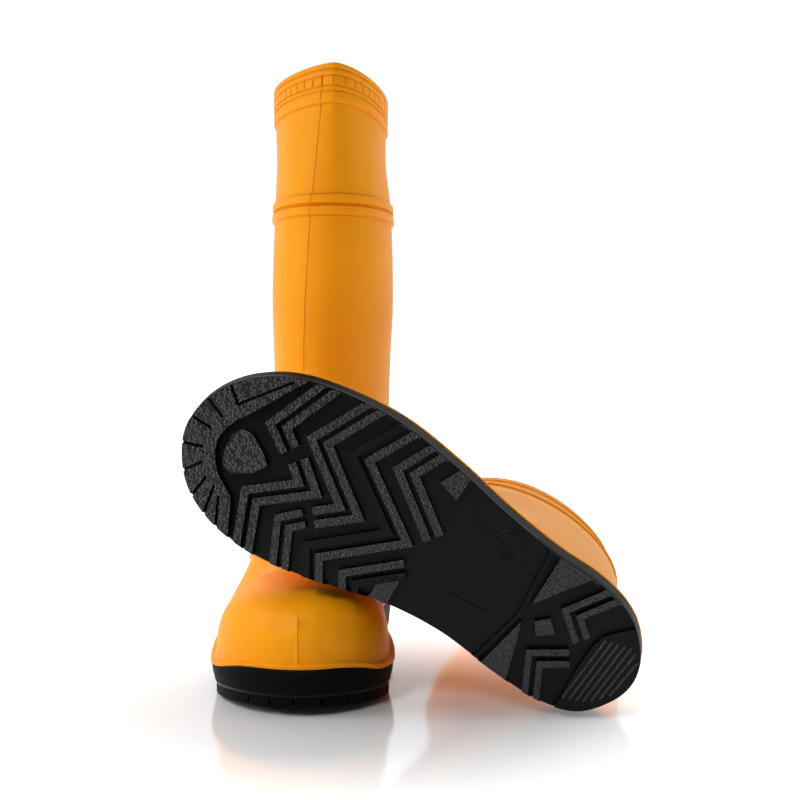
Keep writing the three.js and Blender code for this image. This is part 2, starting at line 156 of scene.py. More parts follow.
OUTER_HALF = [0, 16.2, 30.5, 37.8, 39.7, 45, 53.1, 58.6, 57.2, 50.2, 36.3, 17.8, -TIP_DEPTH]
INNER_HALF = [0, 16.8, 32.8, 38.7, 37.3, 33.8, 37, 46.7, 52.2, 49.4, 39, 21.3, TIP_DEPTH]
FRONT_LINE = [
    (0, SOLE_LENGTH - TIP_DEPTH, BED_TOE),
    (CUP_DEPTH, SOLE_LENGTH - 2.5, TOE_SOLE_HEIGHT),
    (20, SOLE_LENGTH - 1, TOE_HEIGHT * 0.47),
    (32, SOLE_LENGTH - 1.5, TOE_HEIGHT * 0.65),
    (42, SOLE_LENGTH - 8, TOE_HEIGHT * 0.81),
    (50, SOLE_LENGTH - 20, TOE_HEIGHT * 0.93),
    (58, SOLE_LENGTH - 38, TOE_HEIGHT + 0.5),
    (70, SOLE_LENGTH - 64, TOE_HEIGHT + 8),
    (84, (SOLE_LENGTH + FRONT) / 2 - 18, TOE_HEIGHT + 22.5),
    (100, (SOLE_LENGTH + FRONT) / 2 - 44, 110),
    (120, FRONT + 10, 136),
    (145, FRONT - 1, 164),
    (180, FRONT - 5.5, 200),
    (RIM_LEVEL - 95, FRONT - 2, BOOT_HEIGHT - 95),
    (RIM_LEVEL, FRONT, BOOT_HEIGHT),
]
BACK_LINE = [
    (0, 3.5, BED_HEEL),
    (CUP_DEPTH, 2.5, HEEL_HEIGHT),
    (20, 1, BED_HEEL + 20),
    (32, 0.5, BED_HEEL + 32),
    (42, 1.5, BED_HEEL + 43),
    (50, 3.5, BED_HEEL + 53),
    (58, 5.5, BED_HEEL + 63),
    (70, 7.5, BED_HEEL + 76),
    (84, 8.5, BED_HEEL + 91),
    (100, 8, BED_HEEL + 108),
    (120, 6, BED_HEEL + 128),
    (145, 2.5, BED_HEEL + 152),
    (180, REAR + 7, 200),
    (RIM_LEVEL - 95, REAR + 1, BOOT_HEIGHT - 95 - RIM_DROP / 2),
    (RIM_LEVEL, REAR, BOOT_HEIGHT - RIM_DROP),
]
# Rows of height, half width, pointedness of the front (under 1 is blunt, over 1 is pinched) and lean inwards.
SHAFT_FORM = [
    (0, 1.0, 0.8, 0),
    (BOOT_HEIGHT * 0.3, 1.03, 0.85, 0),
    (BOOT_HEIGHT * 0.5, 1.055, 0.9, 0.5),
    (BOOT_HEIGHT * 0.62, 1.1, 0.9, 0.5),
    (BOOT_HEIGHT - 92, 1.06, 0.9, 0),
    (BOOT_HEIGHT - 55, 1.0, 1.05, -1.6),
    (BOOT_HEIGHT - 30, 1.01, 1.2, -2),
    (BOOT_HEIGHT, 1.02, 1.35, -2),
]
# Rows of x, and the power and root that round the foot over on its outer and on its inner side.
FOOT_FORM = [
    (110, 2.8, 0.54, 3.2, 0.5),
    (190, 4.0, 3.2, 4.0, 2.0),
    (232, 3.2, 0.54, 3.6, 0.5),
    (292, 8, 0.36, 8, 0.36),
]
BACK_PINCH = 0.85  # the pointedness of the back
BALL_X = 225
ANKLE = (45, 125)  # heights between which the foot turns into the shaft
CREST_SHIFT = 12  # how far the front of the rim is bent inwards
CREST_FOOT = 190


def ease(x, low, high):
    t = np.clip((x - low) / (high - low), 0, 1)
    return t * t * (3 - 2 * t)


def between(rows, at, column=1):
    """The value in a column of rows, smoothly between the rows."""
    table = np.array(rows, float)
    knots, values = table[:, 0], table[:, column]
    slopes = np.gradient(values)
    slopes[1:-1] = (values[2:] - values[:-2]) / (knots[2:] - knots[:-2])
    slopes[0] = (values[1] - values[0]) / (knots[1] - knots[0])
    slopes[-1] = (values[-1] - values[-2]) / (knots[-1] - knots[-2])
    at = np.clip(at, knots[0], knots[-1])
    i = np.clip(np.searchsorted(knots, at) - 1, 0, len(knots) - 2)
    span = knots[i + 1] - knots[i]
    t = (at - knots[i]) / span
    return (
        (1 + 2 * t) * (1 - t) ** 2 * values[i]
        + t * (1 - t) ** 2 * span * slopes[i]
        + t * t * (3 - 2 * t) * values[i + 1]
        + t * t * (t - 1) * span * slopes[i + 1]
    )


def sole_half(x, side):
    """Half width of the sole at x, where side is above 0 on the outer side."""
    steps = np.arccos(1 - 2 * np.clip(x / SOLE_LENGTH, 0, 1)) / math.pi * (len(OUTER_HALF) - 1)
    outer = between(list(enumerate(OUTER_HALF)), steps)
    inner = between(list(enumerate(INNER_HALF)), steps)
    return np.where(side > 0, outer, inner)


TOP_LINE = [(x, z) for _, x, z in reversed(FRONT_LINE[3:-2])]


def top_line(x):
    """Height of the toe and instep at x, and a great height behind the instep."""
    return np.where(x < TOP_LINE[0][0], 3 * BOOT_HEIGHT, between(TOP_LINE, x))


def station_form(x, column):
    stations = np.array(FOOT_FORM)
    return np.interp(x, stations[:, 0], stations[:, column])


def last(level, turn):
    along = (1 - np.cos(turn)) / 2
    side = np.where(np.sin(turn) >= 0, 1.0, -1.0)
    x = between(BACK_LINE, level, 1) * (1 - along) + between(FRONT_LINE, level, 1) * along
    z = between(BACK_LINE, level, 2) * (1 - along) + between(FRONT_LINE, level, 2) * along
    bed = BED_HEEL + (BED_TOE - BED_HEEL) * x / SOLE_LENGTH
    rise = np.clip((z - bed) / (top_line(x) - bed), 0, 1)
    power = np.where(side > 0, station_form(x, 1), station_form(x, 3))
    root = np.where(side > 0, station_form(x, 2), station_form(x, 4))
    dome = (1 - rise**power) ** root
    # Each ring's nose is rounded like the sole's, about the middle of the sole's tip.
    nose_gap = np.minimum(SOLE_LENGTH - between(FRONT_LINE, level, 1), TIP_DEPTH)
    middle = TIP_DEPTH * ease(x, BALL_X, SOLE_LENGTH)
    foot = (sole_half(x + nose_gap * along**6, side) + side * middle) * dome - side * middle
    pinch = BACK_PINCH + (between(SHAFT_FORM, z, 2) - BACK_PINCH) * along
    shaft = SHAFT_WIDTH / 2 * between(SHAFT_FORM, z, 1) * np.abs(np.sin(turn)) ** pinch
    upright = ease(z, *ANKLE)
    dip = np.where(side > 0, RIM_DIP_OUTER, RIM_DIP_INNER) * np.sin(turn) ** 2
    z = z - dip * ease(level, RIM_LEVEL - 90, RIM_LEVEL)
    lean = CREST_SHIFT * along**3 * ease(z, CREST_FOOT, BOOT_HEIGHT) + between(SHAFT_FORM, z, 3)
    return np.stack([x, side * (foot * (1 - upright) + shaft * upright) - lean, z], -1)


def skin(level, turn, depth):
    """Points the given depth below the last, measured level with the floor down by the sole."""
    level, turn, depth = np.broadcast_arrays(*(np.asarray(v, float) for v in (level, turn, depth)))
    up = last(level + 0.5, turn) - last(np.maximum(level - 0.5, 0), turn)
    along = last(level, turn + 0.02) - last(level, turn - 0.02)
    along[..., 1] -= 1e-6  # where the toe's rings come to a point, they face ahead
    outward = np.cross(up, along)
    outward /= np.linalg.norm(outward, axis=-1, keepdims=True)
    outward[..., 2] *= ease(level, CUP_DEPTH + 4.2, 30)
    outward /= np.linalg.norm(outward, axis=-1, keepdims=True)
    return last(level, turn) - outward * depth[..., None]


def sole_ring(heel_z, toe_z, grow, turn):
    """The sole's outline, grown outwards, at heights that run evenly from heel to toe."""

    def at(angle):
        x = SOLE_LENGTH * (1 - np.cos(angle)) / 2
        side = np.where(np.sin(angle) >= 0, 1.0, -1.0)
        return np.stack([x, side * sole_half(x, side)], -1)

    along = at(turn + 0.03) - at(turn - 0.03)
    along /= np.linalg.norm(along, axis=-1, keepdims=True)
    flat = at(turn) + np.stack([-along[..., 1], along[..., 0]], -1) * grow
    z = heel_z + (toe_z - heel_z) * flat[..., 0] / SOLE_LENGTH
    return np.concatenate([flat, z[..., None]], -1)


# Where each boot is set down: the right one stands, turned a little, and the left one
# lies on its inner side.
STAND = Matrix.Rotation(math.radians(-93.45), 4, "Z") @ Matrix.Translation((-14 * MM, 0, 0))
LYING_PLACE = (180.377 * MM, -290.5 * MM, 21.152 * MM)
LIE = (
    Matrix.Translation(LYING_PLACE)
    @ Matrix.Rotation(math.radians(-4), 4, "Z")
    @ Matrix.Rotation(math.radians(-0.26), 4, "X")
    @ Matrix.Rotation(math.radians(30.8), 4, "Y")
    @ Matrix.Rotation(math.pi, 4, "Y")
    @ Matrix.Rotation(-math.pi / 2, 4, "X")
)
MIRROR = Matrix.Diagonal((1, -1, 1, 1))
SIDES = {"right": STAND @ MIRROR, "left": LIE}
TOE_SPRING, SPRING_START = 5, 222
BALL_DROP = 5


def turn_up_toe(mesh):
    """Lifts the tip of the sole a little off the floor, and lowers the flange beside the ball of the foot."""
    points = np.empty(len(mesh.vertices) * 3)
    mesh.vertices.foreach_get("co", points)
    points = points.reshape(-1, 3)
    x, z = points[:, 0], points[:, 2].copy()
    points[:, 2] += TOE_SPRING * ease(x, SPRING_START, SOLE_LENGTH) * (1 - ease(z, 60, 110))
    beside_ball = ease(x, 185, 235) * (1 - ease(x, 260, 296))
    points[:, 2] -= BALL_DROP * beside_ball * ease(z, 8, 20) * (1 - ease(z, 30, 64))
    mesh.vertices.foreach_set("co", points.ravel())


def new_object(name, mesh):
    piece = bpy.data.objects.new(name, mesh)
    bpy.context.scene.collection.objects.link(piece)
    return piece


def put_on(side, mesh, name, body):
    """One boot's own copy of a mesh drawn in mm as a left boot, set in its place and riding on its body."""
    copy = mesh.copy()
    copy.name = f"{side}_{name}"
    turn_up_toe(copy)
    copy.transform(SIDES[side] @ Matrix.Scale(MM, 4))
    if side == "right":
        copy.flip_normals()
    for vertex in copy.vertices:  # a soft side settles flat on the floor
        vertex.co.z = max(vertex.co.z, 0)
    piece = new_object(f"{side}_{name}_skin", copy)
    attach(piece, f"{side}_{body}")
    return piece


def loft(name, rings, smooth_angle=35):
    """A closed mesh through rings of the same count, with ends laced straight across."""
    rings = np.asarray(rings)
    rows, count, _ = rings.shape
    r, i = np.meshgrid(np.arange(rows - 1), np.arange(count), indexing="ij")
    j = (i + 1) % count
    quads = np.stack([r * count + i, (r + 1) * count + i, (r + 1) * count + j, r * count + j], -1)
    faces = quads.reshape(-1, 4).tolist()
    half = count // 2
    for base, flip in ((0, False), ((rows - 1) * count, True)):
        for k in range(half):
            lace = [k, k + 1, count - k - 1, (count - k) % count]
            lace = [base + v for v in dict.fromkeys(lace)]
            faces.append(lace[::-1] if flip else lace)
    mesh = bpy.data.meshes.new(name)
    mesh.from_pydata(rings.reshape(-1, 3).tolist(), [], faces)
    mesh.validate()
    mesh.shade_smooth()
    mesh.set_sharp_from_angle(angle=math.radians(smooth_angle))
    return mesh


# Knit, PVC and rubber share one finish: faint cloudiness in the colour, and a slight unevenness in the gloss.


def input_socket(group, name, kind, value):
    item = group.interface.new_socket(name=name, in_out="INPUT", socket_type=kind)
    item.default_value = value


def make_moulded_skin():
    group = bpy.data.node_groups.new("moulded_skin", "ShaderNodeTree")
    input_socket(group, "Colour", "NodeSocketColor", (0.5, 0.5, 0.5, 1))
    input_socket(group, "Deep colour", "NodeSocketColor", (0.4, 0.4, 0.4, 1))
    input_socket(group, "Roughness", "NodeSocketFloat", 0.4)
    input_socket(group, "Grain size", "NodeSocketFloat", 900)
    for name, kind in (("Colour", "Color"), ("Roughness", "Float"), ("Height", "Float")):
        group.interface.new_socket(name=name, in_out="OUTPUT", socket_type=f"NodeSocket{kind}")
    nodes, links = group.nodes, group.links
    inputs, outputs = nodes.new("NodeGroupInput"), nodes.new("NodeGroupOutput")
    place = nodes.new("ShaderNodeTexCoord")
    cloud = nodes.new("ShaderNodeTexNoise")
    cloud.inputs["Scale"].default_value = 14
    cloud.inputs["Detail"].default_value = 3
    fine = nodes.new("ShaderNodeTexNoise")
    fine.inputs["Detail"].default_value = 2
    links.new(place.outputs["Object"], cloud.inputs["Vector"])
    links.new(place.outputs["Object"], fine.inputs["Vector"])
    links.new(inputs.outputs["Grain size"], fine.inputs["Scale"])
    stretch = nodes.new("ShaderNodeMapRange")
    stretch.inputs["From Min"].default_value = 0.35
    stretch.inputs["From Max"].default_value = 0.7
    links.new(cloud.outputs["Fac"], stretch.inputs["Value"])
    tint = nodes.new("ShaderNodeMix")
    tint.data_type = "RGBA"
    links.new(stretch.outputs["Result"], tint.inputs["Factor"])
    links.new(inputs.outputs["Colour"], tint.inputs["A"])
    links.new(inputs.outputs["Deep colour"], tint.inputs["B"])
    links.new(tint.outputs["Result"], outputs.inputs["Colour"])
    gloss = nodes.new("ShaderNodeMath")
    gloss.operation = "MULTIPLY_ADD"
    gloss.inputs[1].default_value = 0.12
    links.new(cloud.outputs["Fac"], gloss.inputs[0])
    links.new(inputs.outputs["Roughness"], gloss.inputs[2])
    links.new(gloss.outputs["Value"], outputs.inputs["Roughness"])
    links.new(fine.outputs["Fac"], outputs.inputs["Height"])
    return group


moulded_skin = make_moulded_skin()


def make_finish(name, colour, deep, roughness, grain, bump, sheen=0.5):
    """A moulded or pressed material: its two colours, gloss, grain size and depth of grain in metres."""
    material = bpy.data.materials.new(name)
    material.use_nodes = True
    nodes, links = material.node_tree.nodes, material.node_tree.links
    shader = nodes["Principled BSDF"]
    skin_group = nodes.new("ShaderNodeGroup")
    skin_group.node_tree = moulded_skin
    skin_group.inputs["Colour"].default_value = (*colour, 1)
    skin_group.inputs["Deep colour"].default_value = (*deep, 1)
    skin_group.inputs["Roughness"].default_value = roughness
    skin_group.inputs["Grain size"].default_value = grain
    bumps = nodes.new("ShaderNodeBump")
    bumps.inputs["Distance"].default_value = bump
    bumps.inputs["Strength"].default_value = 0.5
    links.new(skin_group.outputs["Height"], bumps.inputs["Height"])
    links.new(skin_group.outputs["Colour"], shader.inputs["Base Color"])
    links.new(skin_group.outputs["Roughness"], shader.inputs["Roughness"])
    links.new(bumps.outputs["Normal"], shader.inputs["Normal"])
    shader.inputs["Specular IOR Level"].default_value = sheen
    return material


FOOT_WALL, SHAFT_WALL = 5.1, 3
GAP = 0.3
LINING_THICKNESS = 1.2
LINING_FLOOR = 8.1
LINING_DROP = 6


def wall_at(level):
    """The thickness of the moulding outside the lining."""
    return FOOT_WALL + (SHAFT_WALL - FOOT_WALL) * ease(level, 90, 150)


def make_lining():
    turn = np.linspace(0, 2 * math.pi, 160, endpoint=False)
    top = RIM_LEVEL - LINING_DROP
    climb = [20, 32, 40, 46, 52, 60, 70, 84, 100, 120, 145, 180, 230, 281, 330]
    levels = np.array([LINING_FLOOR, *climb, top - 0.5, top])[:, None]
    outside = skin(levels, turn[None], wall_at(levels) + GAP)
    back = np.array([top, top - 0.5, *climb[::-1], LINING_FLOOR + LINING_THICKNESS])[:, None]
    inside = skin(back, turn[None], wall_at(back) + GAP + LINING_THICKNESS)
    return loft("lining", np.concatenate([outside, inside]))


lining_mesh = make_lining()
cream_knit = make_finish("cream_knit", (0.62, 0.58, 0.48), (0.52, 0.48, 0.38), 0.85, 1500, 0.0004, 0.2)
lining_mesh.materials.append(cream_knit)
for side in SIDES:
    lining = put_on(side, lining_mesh, "lining", "boot")
    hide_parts(f"{side}_lining")

# ---------------------------------------------------------------- parts sealed in the moulding
# The steel toe cap, its edge strip, the steel plate, the insole board and the heel core are set on the lining
# and sealed in when the boot is moulded. They keep their plain shapes, and get the finish of what they are
# made of.

steel = make_finish("lacquered_steel", (0.45, 0.46, 0.48), (0.38, 0.39, 0.41), 0.3, 900, 0.00005)
steel.node_tree.nodes["Principled BSDF"].inputs["Metallic"].default_value = 1
strip_rubber = make_finish("strip_rubber", (0.022, 0.022, 0.024), (0.03, 0.03, 0.032), 0.6, 800, 0.0001)
fibreboard = make_finish("fibreboard", (0.42, 0.30, 0.17), (0.34, 0.23, 0.12), 0.85, 1200, 0.0002)
INNER_FINISHES = {
    "toe_cap": steel,
    "puncture_plate": steel,
    "toe_cap_edge": strip_rubber,
    "heel_core": strip_rubber,
    "insole_board": fibreboard,
}
for side in SIDES:
    for name, finish in INNER_FINISHES.items():
        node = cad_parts[f"{side}_{name}"]
        node.data.materials.clear()
        node.data.materials.append(finish)

# ---------------------------------------------------------------- upper
# The upper is one orange PVC moulding from the toe to the rim, run round the lining. The mould's two halves
# leave a fine line down the front and the back, and its walls give the hoops, the studded cuff and the pad
# over the instep. The flange covers the top of the sole's sidewall.

LIP_HEIGHT, LIP_REACH = 3.2, 3.3
RING_LEVEL, RING_HEIGHT, RING_GROOVE, RING_REACH = 281, 6.4, 1.2, 1.8
CUFF_REACH = 1.3
STUD_COUNT = 48
STUD_EDGES = (0.0, 0.07, 0.1, 0.5, 0.9, 0.93)
LINE_STEPS = (0.3, 0.55, 0.9, 1.6)  # columns beside the mould line, in mm
LINE_OFF = 5  # how far the front mould line runs beside the crest, on the outer side
LINE_RIDGE, LINE_NICK = 0.45, 0.15
PAD_MIDDLE, PAD_RADIUS = 174, 24.2
PAD_RISE, PAD_BEAD = 0.9, 0.35
PAD_RUNOUT = (92, 104)


def cuff_turns():
    """Columns round the boot that fall on the edges of the studs at the cuff."""
    fine = np.linspace(0, 2 * math.pi, 4001)
    track = last(RIM_LEVEL - 12, fine)
    lengths = np.concatenate([[0], np.cumsum(np.linalg.norm(np.diff(track, axis=0), axis=1))])
    whole = lengths[-1]
    places = [(k - 0.5 + edge) / STUD_COUNT * whole for k in range(STUD_COUNT) for edge in STUD_EDGES]
    middles = (0, whole / 2 - LINE_OFF)
    places += [middle + sign * step for middle in middles for sign in (-1, 0, 1) for step in LINE_STEPS]
    places = np.unique(np.round(np.mod(places, whole), 4))
    beside = [np.minimum(np.abs(places - middle), whole - np.abs(places - middle)) for middle in middles]
    return np.interp(places, lengths, fine), places / whole * STUD_COUNT, np.minimum(*beside)


TURNS, STUD_PHASE, LINE_DISTANCE = cuff_turns()


def hoop_rows(level):
    """Level and reach of one hoop's rounded section."""
    top = level + RING_HEIGHT
    return [
        (level - 1.1, 0), (level - 0.6, -0.5), (level - 0.1, -0.4), (level + 0.2, 0.8),
        (level + 0.5, RING_REACH - 0.2), (level + 1, RING_REACH), (level + 2.8, RING_REACH + 0.15),
        (top - 1, RING_REACH), (top - 0.5, RING_REACH * 0.7), (top - 0.1, -0.3),
    ]


def cuff_rows():
    """Level, reach and stud reach of the cuff, from its foot to the rim."""
    down = RIM_LEVEL
    return [
        (down - 27.4, 0, 0), (down - 26.8, -0.5, 0), (down - 26.3, -0.4, 0), (down - 25.9, 1.1, 0),
        (down - 25.4, CUFF_REACH, 0), (down - 20.2, CUFF_REACH, 0), (down - 19.6, 1.2, 0),
        (down - 19.1, 0, 0), (down - 17.9, 0, 0),
        (down - 17.4, 1.2, 0), (down - 16.8, CUFF_REACH, 0), (down - 16.2, CUFF_REACH, 0),
        (down - 15.8, 1.1, 0), (down - 15.3, 0.2, 0), (down - 14.7, 0.1, 0), (down - 14.2, 0.1, 1.1),
        (down - 9.6, 0.1, 1.2), (down - 9.1, 0.1, 1.1), (down - 8.7, 0.1, 0.1), (down - 8.1, 0.1, 0),
        (down - 7.8, 1.0, 0), (down - 7.4, CUFF_REACH, 0), (down - 5.2, CUFF_REACH, 0),
        (down - 4.8, 1.1, 0), (down - 4.3, 0, 0),
        (down - 3.7, 0, 0), (down - 3.2, 1.0, 0), (down - 2.6, CUFF_REACH, 0), (down - 1.2, CUFF_REACH, 0),
        (down - 0.5, 1.0, 0), (down - 0.1, 0.4, 0), (down, -0.4, 0), (down, -SHAFT_WALL + 1.0, 0),
        (down - 0.3, -SHAFT_WALL + 0.3, 0), (down - 0.9, -SHAFT_WALL, 0),
    ]


def stud_mask():
    """1 where a stud stands and 0 in the slots between studs, for each column."""
    phase = np.mod(STUD_PHASE + 0.5, 1)
    return ease(phase, 0.02, 0.09) * (1 - ease(phase, 0.91, 0.98))


def pad_reach(points):
    """How far the pad over the instep stands out: its top is an arc, and it runs out down the vamp."""
    y, z = np.abs(points[..., 1]), points[..., 2]
    arc = np.hypot(y, np.maximum(z - PAD_MIDDLE, 0))
    inside = 1 - ease(arc, PAD_RADIUS - 0.6, PAD_RADIUS + 0.6)
    bead = 1 - ease(np.abs(arc - PAD_RADIUS + 0.8), 0.6, 1.4)
    ahead = points[..., 0] > SHAFT_MIDDLE
    return (inside * PAD_RISE + bead * PAD_BEAD) * ease(z, *PAD_RUNOUT) * ahead


def mould_line():
    """A fine raised line down the front and the back, with a shallow nick beside it, for each column."""
    ridge = 1 - ease(LINE_DISTANCE, 0.2, 0.5)
    nick = 1 - ease(np.abs(LINE_DISTANCE - 0.9), 0.1, 0.6)
    return LINE_RIDGE * ridge - LINE_NICK * nick


def make_upper():
    low = CUP_DEPTH + GAP
    top = CUP_DEPTH + LIP_HEIGHT
    rows = [(0, 0, 0), (low, 0, 0), (low, LIP_REACH - 0.4, 0), (low + 0.3, LIP_REACH, 0)]
    rows += [(top - 0.8, LIP_REACH, 0), (top - 0.2, LIP_REACH - 0.5, 0), (top, LIP_REACH - 1.2, 0)]
    rows += [(top + 0.1, 0.7, 0), (top + 0.5, 0.2, 0)]
    rows += [(level, 0, 0) for level in np.arange(top + 1.2, 62, 0.9)]
    rows += [(level, 0, 0) for level in np.arange(62, 186, 1.5)]
    rows += [(level, 0, 0) for level in np.arange(187, RING_LEVEL - 2, 4)]
    for start in (RING_LEVEL, RING_LEVEL + RING_HEIGHT + RING_GROOVE):
        rows += [(level, reach, 0) for level, reach in hoop_rows(start)]
    rows += [(level, 0, 0) for level in np.arange(RING_LEVEL + 16, RIM_LEVEL - 29, 4)]
    rows += cuff_rows()
    level, reach, stud = (np.array(column)[:, None] for column in zip(*rows))
    # On the toe the mould line runs back to the middle.
    line_turn = TURNS[np.argmin(LINE_DISTANCE + 1000 * (np.abs(TURNS - math.pi) > 1))]
    drift = (math.pi - line_turn) * (1 - ease(level, 75, 190))
    turn = TURNS[None, :] + drift * np.exp(-(((TURNS[None, :] - line_turn) / 0.35) ** 2))
    outside = last(level, turn)
    standing = (level > top) & (reach > -1)
    over_vamp = ease(level, 36, 44) * (1 - ease(level, 165, 185))
    below_rim = 1 - ease(level, RIM_LEVEL - 8, RIM_LEVEL - 2)
    trim = mould_line()[None, :] * below_rim * (1 - over_vamp)
    lift = reach + stud * stud_mask()[None, :] + (trim + pad_reach(outside)) * standing
    outer = skin(level, turn, -lift)
    inner_levels = [330, 230, 180, 145, 120, 100, 84, 70, 60, 52, 46, 40, 32, 20, 8, 4.4]
    inner_levels = np.array(inner_levels)[:, None]
    inner = skin(inner_levels, TURNS[None, :], wall_at(inner_levels))
    return loft("upper", np.concatenate([outer, inner]))


orange = make_finish("orange_pvc", (0.88, 0.33, 0.004), (0.82, 0.29, 0.003), 0.4, 700, 0.00005, 0.1)
orange_shader = orange.node_tree.nodes["Principled BSDF"]
orange_shader.inputs["Subsurface Weight"].default_value = 0.05
orange_shader.inputs["Subsurface Radius"].default_value = (0.004, 0.0015, 0.0004)
upper_mesh = make_upper()
upper_mesh.materials.append(orange)
for side in SIDES:
    upper = put_on(side, upper_mesh, "upper", "boot")
    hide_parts(f"{side}_upper")

# ---------------------------------------------------------------- outsole
# The outsole is black PVC run onto the foot of the upper in a second mould. Its sidewall is a cup round the
# upper, and its underside is smooth between lugs with pebbled faces.

SOLE_WIDTH = 110.8
TREAD_DEPTH = 6
LUG_ROOT = TREAD_DEPTH + 0.5  # the lugs start inside the sole
LUG_EDGE = 0.65
SIDEWALL_FLARE = 2.5
CLIP = 0.5  # how far the lugs stay inside the sole's edge
LUG_SLOT = 1.5

# The tread's outlines, as (x, y) points of the drawing of a sole of this size, which is fitted to the sole.
DRAWN_LENGTH, DRAWN_WIDTH = 300, 110.8
ZIGZAGS = [
    (11, [(236, 58), (252, 20.6), (239, 11.8)]),
    (11, [(207, 62), (226.5, 25.3), (190.5, -1.2), (207, -14.7)]),
    (11, [(183, 62), (201, 29.4), (159, 0.6), (197.5, -31.8), (186, -52)]),
    (11, [(162, 60), (174.5, 36), (141, 11.2)]),
    (11, [(232, -56), (245, -23), (218.5, -1.8), (231.5, 9)]),
    (10, [(208, -54), (220.5, -26.5), (211.5, -18)]),
    (10, [(162, -50), (171.5, -34.5), (146, -13)]),
    (9, [(45, -42), (56, -18.2), (39, -7.6)]),
    (9, [(33.5, 39), (50.5, 15.3), (38, 4.7)]),
]
PICK_PAD = [
    (251, 2), (263, 8.5), (269, 8), (273, 2), (272, -8), (269, -16), (262, -18), (251, -11), (245.5, -3),
]
WAIST_PIECES = [
    [(154.5, 41), (144.5, 60), (140, 60), (141, 37)],
    [(156, -47), (156, -24.5), (145.5, -16), (144.5, -45)],
]
HEEL_PIECES = [
    [(83.5, -46), (73.5, -3.5), (70, -14), (61.5, -46)],
    [(73.5, 8), (72.5, 48), (46, 45)],
    [(67, 0.6), (60, 6.5), (53, 0), (62, -6.5)],
]
WAIST_LINES = [[(128, 32), (100, 27), (79, 20)], [(120, -12), (92, -11)]]
BREAST_LINE = [(87, -42), (76.5, -2), (77, 8), (79, 44)]
MARK_PLACE, MARK_RADII = (100.5, 31, 5.9), (6.5, 9)
HEEL_PAD = [(31.5, -45), (32, -12), (31, 6), (28, 14), (22, 20), (15, 36)]
HEEL_RIBS, HEEL_RIB_PITCH, HEEL_RIB_START = 7, 3.7, 6
BAND_INSIDE = [
    (244.5, -60), (255, -29.5), (262, -26), (268, -22.5), (273.5, -17), (277.5, -10.5), (279, -3.5),
    (277.5, 4.5), (274.5, 11.5), (270.5, 16.5), (250, 52),
]
BAND_SLOTS = [
    [(251.5, -54), (261.5, -33)],
    [(263, -50), (267, -29)],
    [(276, -45), (273.5, -27)],
    [(289.5, -34), (280, -21)],
    [(300, -18.5), (284, -13)],
    [(304, -1.2), (286, -1.2)],
    [(300, 14.5), (283, 7.6)],
    [(292, 29), (279, 19), (257, 47)],
]


def bar_edges(line, width):
    """The two edges of a bar of even width that follows a bent line, with mitred corners."""
    points = np.array(line, float)
    ways = np.diff(points, axis=0)
    ways /= np.linalg.norm(ways, axis=1, keepdims=True)
    across = np.stack([-ways[:, 1], ways[:, 0]], -1)
    before = np.vstack([across[:1], across])
    after = np.vstack([across, across[-1:]])
    corner = before + after
    corner /= np.linalg.norm(corner, axis=1, keepdims=True)
    reach = (width / 2 / np.sum(corner * after, axis=1))[:, None] * corner
    return points + reach, points - reach


def twin_bars(line, width):
    """A zigzag lug is two ribs side by side, with a slot between them. Gives both edges of each rib."""
    left, right = bar_edges(line, width + LUG_SLOT)
    centre = (left + right) / 2
    rib = (width - LUG_SLOT) / (width + LUG_SLOT)
    return [(edge, edge + (centre - edge) * rib) for edge in (left, right)]


def inside_sole(outline):
    """Points of an outline drawn past the sole's edge are brought back to it."""
    drawn = np.array(outline, float) * (SOLE_LENGTH / DRAWN_LENGTH, SOLE_WIDTH / DRAWN_WIDTH)
    x = np.clip(drawn[:, 0], 4, SOLE_LENGTH - 1)
    y = np.clip(drawn[:, 1], -sole_half(x, -1) + CLIP, sole_half(x, 1) - CLIP)
    return np.stack([x, y], -1)


def fill_out(outline, step=3.0):
    """The same outline with more points, so that long sides can follow the sole's edge."""
    points = []
    for a, b in zip(outline, [*outline[1:], outline[0]]):
        count = max(1, round(math.dist(a, b) / step))
        points += [np.array(a) + (np.array(b) - np.array(a)) * k / count for k in range(count)]
    return points


def edge_arc(start, end, count):
    """Points along the sole's edge between two turns."""
    return sole_ring(0, 0, -CLIP, np.linspace(start, end, count))[:, :2]


def spread(line, count):
    """Points spread evenly along a bent line."""
    line = np.array(line, float)
    lengths = np.concatenate([[0], np.cumsum(np.linalg.norm(np.diff(line, axis=0), axis=1))])
    at = np.linspace(0, lengths[-1], count)
    return np.stack([np.interp(at, lengths, line[:, k]) for k in (0, 1)], -1)


def ladder(left, right, steps):
    """Both edges of a strip with each of its straight parts cut into steps."""
    cut = np.arange((len(left) - 1) * steps + 1) / steps
    corners = np.arange(len(left))
    return [np.stack([np.interp(cut, corners, edge[:, k]) for k in (0, 1)], -1) for edge in (left, right)]


def only(piece):
    bpy.ops.object.select_all(action="DESELECT")
    piece.select_set(True)
    bpy.context.view_layer.objects.active = piece


def raise_lug(name, points, faces, low, high):
    """Flat faces drawn at high, in the sole, and raised into a lug down to low."""
    mesh = bpy.data.meshes.new(name)
    mesh.from_pydata([(x, y, high) for x, y in points], [], faces)
    lug = new_object(name, mesh)
    only(lug)
    bpy.ops.object.mode_set(mode="EDIT")
    bpy.ops.mesh.select_all(action="SELECT")
    bpy.ops.mesh.extrude_region_move(TRANSFORM_OT_translate={"value": (0, 0, low - high)})
    bpy.ops.mesh.select_all(action="SELECT")
    bpy.ops.mesh.normals_make_consistent(inside=False)
    bpy.ops.object.mode_set(mode="OBJECT")
    if any(face.normal.z > 0.5 and face.center.z < (low + high) / 2 for face in mesh.polygons):
        mesh.flip_normals()
    return lug


def raise_block(name, outline, low, high):
    return raise_lug(name, outline, [range(len(outline))], low, high)


